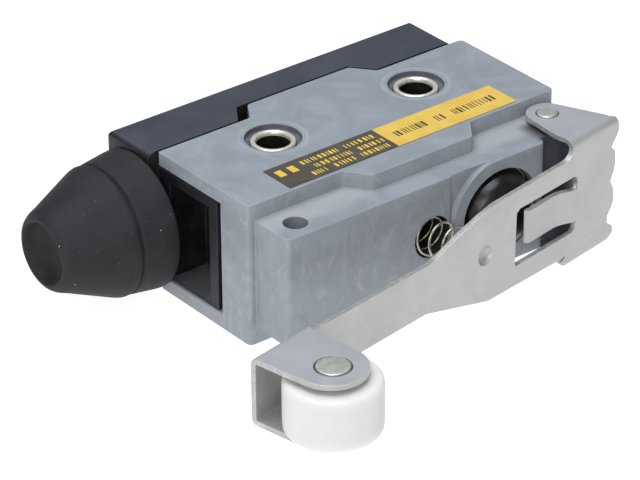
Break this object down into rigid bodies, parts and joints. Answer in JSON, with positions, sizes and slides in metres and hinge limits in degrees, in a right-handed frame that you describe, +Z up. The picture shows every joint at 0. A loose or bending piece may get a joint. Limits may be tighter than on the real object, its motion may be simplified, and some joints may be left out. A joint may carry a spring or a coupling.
{
  "type": "enclosed limit switch with hinged roller lever",
  "caption": "Enclosed limit switch: grey case with two mounting holes, black terminal cover, rubber cable boot and a sprung hinged roller lever.",
  "frame": {"origin": "midway between the two mounting holes, on the bottom mounting face", "axes": "+X along the case towards the lever hinge, -Y towards the lever, +Z up along the mounting holes"},
  "size_m": [0.0755, 0.0708, 0.0217],
  "materials": {
    "grey_plastic": "moulded, light mottled grain",
    "black_plastic": "moulded, satin with fine scuffs",
    "black_rubber": "moulded rubber, matt and dusty",
    "brushed_steel": "stamped strip, brushed, bright cut edges",
    "bright_nickel": "plated and bright",
    "white_nylon": "turned nylon, satin",
    "switch_plastic": "moulded phenolic",
    "lid_plastic": "moulded phenolic",
    "brass": "stamped",
    "copper": "stamped spring copper alloy",
    "silver": "rounded contact face",
    "zinc_screw": "zinc plated",
    "label_dark": "printed foil",
    "label_yellow": "printed foil",
    "fibre_board": "pressed fibre sheet",
    "red_button": "moulded"
  },
  "bodies": {
    "housing": {"case_shell": "grey_plastic", "terminal_cover": "black_plastic", "cover_gasket": "black_rubber", "cover_screw_left": "zinc_screw", "cover_screw_right": "zinc_screw", "insulating_sheet": "fibre_board", "cable_boot": "black_rubber", "sleeve_left": "bright_nickel", "sleeve_right": "bright_nickel", "label_dark": "label_dark", "label_yellow": "label_yellow", "hinge_pin": "brushed_steel", "return_spring": "brushed_steel", "plunger_seal": "black_rubber", "seal_ring": "brushed_steel", "switch_base": "switch_plastic", "switch_lid": "lid_plastic", "terminal_com": "brass", "terminal_no": "brass", "terminal_nc": "brass", "contact_nc": "silver", "contact_no": "silver", "clamp_nc": "zinc_screw", "clamp_no": "zinc_screw", "clamp_com": "zinc_screw", "screw_nc": "zinc_screw", "screw_no": "zinc_screw", "screw_com": "zinc_screw"},
    "lever": {"roller_lever": "brushed_steel", "roller_axle": "brushed_steel"},
    "roller": {"roller": "white_nylon"},
    "plunger": {"plunger": "brushed_steel"},
    "button": {"switch_button": "red_button"},
    "blade": {"snap_blade": "copper", "moving_contact": "silver"}
  },
  "joints": [
    {"name": "lever_hinge", "type": "hinge", "parent": "housing", "child": "lever", "pos_m": [0.0227, -0.0166, 0.0108], "axis": [0, 0, -1], "range_deg": [0, 9.5], "stiffness_Nm_per_rad": 0.5, "springref_deg": -8.59, "deforming": ["return_spring", "plunger_seal"]},
    {"name": "roller_spin", "type": "hinge", "parent": "lever", "child": "roller", "pos_m": [-0.03799, -0.04485, 0.0108], "axis": [0, 0, 1], "continuous": true},
    {"name": "plunger_slide", "type": "slide", "parent": "housing", "child": "plunger", "axis": [0, 1, 0], "range_m": [0, 0.0021]},
    {"name": "button_slide", "type": "slide", "parent": "housing", "child": "button", "axis": [0, 1, 0], "range_m": [0, 0.00125]},
    {"name": "blade_hinge", "type": "hinge", "parent": "housing", "child": "blade", "pos_m": [0.0204, -0.00835, 0.0108], "axis": [0, 0, -1], "range_deg": [0, 0.95]}
  ],
  "couplings": [
    {"joint": "plunger_slide", "follows": "lever_hinge", "m_per_rad": 0.0124},
    {"joint": "button_slide", "follows": "lever_hinge", "m_per_rad": 0.0073},
    {"joint": "blade_hinge", "follows": "lever_hinge", "ratio": 0.094}
  ]
}
